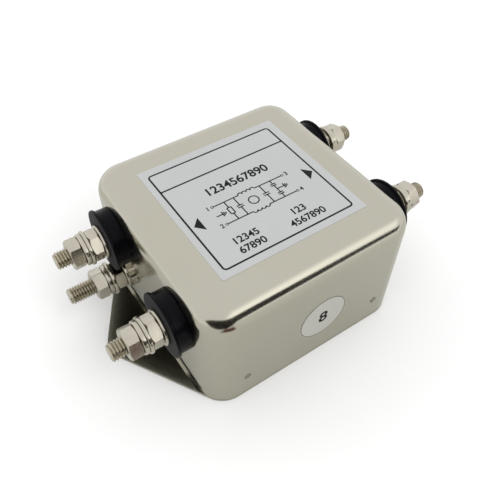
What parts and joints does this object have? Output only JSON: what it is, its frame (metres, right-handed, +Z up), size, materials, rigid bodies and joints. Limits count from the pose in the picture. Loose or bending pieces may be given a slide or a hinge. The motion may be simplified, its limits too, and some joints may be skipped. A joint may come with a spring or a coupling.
{
  "type": "power line filter",
  "caption": "Metal-cased power line filter with threaded stud terminals at both ends, an earth stud, and a base plate with two mounting ears.",
  "frame": {"origin": "centre of the mounting face, midway between the two ear holes", "axes": "+X towards the load end with two studs, -X the line end with the earth stud, -Y the side with the round sticker, +Z up from the mounting face"},
  "size_m": [0.1024, 0.0651, 0.0391],
  "materials": {
    "plated_case": "nickel plate, satin",
    "plated_hardware": "nickel plate, bright",
    "black_plastic": "gloss",
    "inner_plastic": "moulded",
    "label_film": "matt silver film, printed",
    "sticker_film": "pale film, printed",
    "insulation_paper": "varnished",
    "board_laminate": "lacquered",
    "ferrite": "matt",
    "enamelled_wire": "copper under clear enamel",
    "x_capacitor_case": "moulded",
    "y_capacitor_coat": "dipped",
    "resistor_coat": "lacquered",
    "lead_sleeve": "extruded",
    "tinned_brass": "tin plate"
  },
  "bodies": {
    "filter": {"base_plate": "plated_case", "case_shell": "plated_case", "rating_label": "label_film", "inspection_sticker": "sticker_film", "insulation_sheet": "insulation_paper", "board_spacers": "inner_plastic", "circuit_board": "board_laminate", "choke_core": "ferrite", "choke_carrier": "inner_plastic", "choke_winding_live": "enamelled_wire", "choke_winding_neutral": "enamelled_wire", "x_capacitor_line": "x_capacitor_case", "x_capacitor_load": "x_capacitor_case", "y_capacitors": "y_capacitor_coat", "bleeder_resistor": "resistor_coat", "lead_wires": "lead_sleeve", "inner_bushings": "inner_plastic", "ring_lugs": "tinned_brass", "earth_tag": "tinned_brass", "line_live_stud": "plated_hardware", "line_live_bushing": "black_plastic", "line_live_collar_washer": "plated_hardware", "line_live_clamp_nut": "plated_hardware", "line_neutral_stud": "plated_hardware", "line_neutral_bushing": "black_plastic", "line_neutral_collar_washer": "plated_hardware", "line_neutral_clamp_nut": "plated_hardware", "load_live_stud": "plated_hardware", "load_live_bushing": "black_plastic", "load_live_collar_washer": "plated_hardware", "load_live_clamp_nut": "plated_hardware", "load_neutral_stud": "plated_hardware", "load_neutral_bushing": "black_plastic", "load_neutral_collar_washer": "plated_hardware", "load_neutral_clamp_nut": "plated_hardware", "earth_stud": "plated_hardware", "earth_lock_washer": "plated_hardware", "earth_collar_washer": "plated_hardware", "earth_clamp_nut": "plated_hardware"},
    "line_live_washers": {"line_live_flat_washer": "plated_hardware", "line_live_spring_washer": "plated_hardware"},
    "line_live_nut": {"line_live_terminal_nut": "plated_hardware"},
    "line_neutral_washers": {"line_neutral_flat_washer": "plated_hardware", "line_neutral_spring_washer": "plated_hardware"},
    "line_neutral_nut": {"line_neutral_terminal_nut": "plated_hardware"},
    "load_live_washers": {"load_live_flat_washer": "plated_hardware", "load_live_spring_washer": "plated_hardware"},
    "load_live_nut": {"load_live_terminal_nut": "plated_hardware"},
    "load_neutral_washers": {"load_neutral_flat_washer": "plated_hardware", "load_neutral_spring_washer": "plated_hardware"},
    "load_neutral_nut": {"load_neutral_terminal_nut": "plated_hardware"},
    "earth_washers": {"earth_flat_washer": "plated_hardware", "earth_spring_washer": "plated_hardware"},
    "earth_nut": {"earth_terminal_nut": "plated_hardware"}
  },
  "joints": [
    {"name": "line_live_washer_slide", "type": "slide", "parent": "filter", "child": "line_live_washers", "axis": [-1, 0, 0], "range_m": [0, 0.0039]},
    {"name": "line_live_nut_spin", "type": "hinge", "parent": "line_live_washers", "child": "line_live_nut", "pos_m": [-0.04545, 0.0168, 0.02525], "axis": [-1, 0, 0], "range_deg": [0, 1755]},
    {"name": "line_neutral_washer_slide", "type": "slide", "parent": "filter", "child": "line_neutral_washers", "axis": [-1, 0, 0], "range_m": [0, 0.0039]},
    {"name": "line_neutral_nut_spin", "type": "hinge", "parent": "line_neutral_washers", "child": "line_neutral_nut", "pos_m": [-0.04545, -0.0168, 0.02525], "axis": [-1, 0, 0], "range_deg": [0, 1755]},
    {"name": "load_live_washer_slide", "type": "slide", "parent": "filter", "child": "load_live_washers", "axis": [1, 0, 0], "range_m": [0, 0.0039]},
    {"name": "load_live_nut_spin", "type": "hinge", "parent": "load_live_washers", "child": "load_live_nut", "pos_m": [0.04545, 0.0168, 0.02525], "axis": [1, 0, 0], "range_deg": [0, 1755]},
    {"name": "load_neutral_washer_slide", "type": "slide", "parent": "filter", "child": "load_neutral_washers", "axis": [1, 0, 0], "range_m": [0, 0.0039]},
    {"name": "load_neutral_nut_spin", "type": "hinge", "parent": "load_neutral_washers", "child": "load_neutral_nut", "pos_m": [0.04545, -0.0168, 0.02525], "axis": [1, 0, 0], "range_deg": [0, 1755]},
    {"name": "earth_washer_slide", "type": "slide", "parent": "filter", "child": "earth_washers", "axis": [-1, 0, 0], "range_m": [0, 0.0075]},
    {"name": "earth_nut_spin", "type": "hinge", "parent": "earth_washers", "child": "earth_nut", "pos_m": [-0.04195, 0.015, 0.01132], "axis": [-1, 0, 0], "range_deg": [0, 3375]}
  ],
  "couplings": [
    {"joint": "line_live_nut_spin", "follows": "line_live_washer_slide", "rad_per_m": 7854},
    {"joint": "line_neutral_nut_spin", "follows": "line_neutral_washer_slide", "rad_per_m": 7854},
    {"joint": "load_live_nut_spin", "follows": "load_live_washer_slide", "rad_per_m": 7854},
    {"joint": "load_neutral_nut_spin", "follows": "load_neutral_washer_slide", "rad_per_m": 7854},
    {"joint": "earth_nut_spin", "follows": "earth_washer_slide", "rad_per_m": 7854}
  ]
}
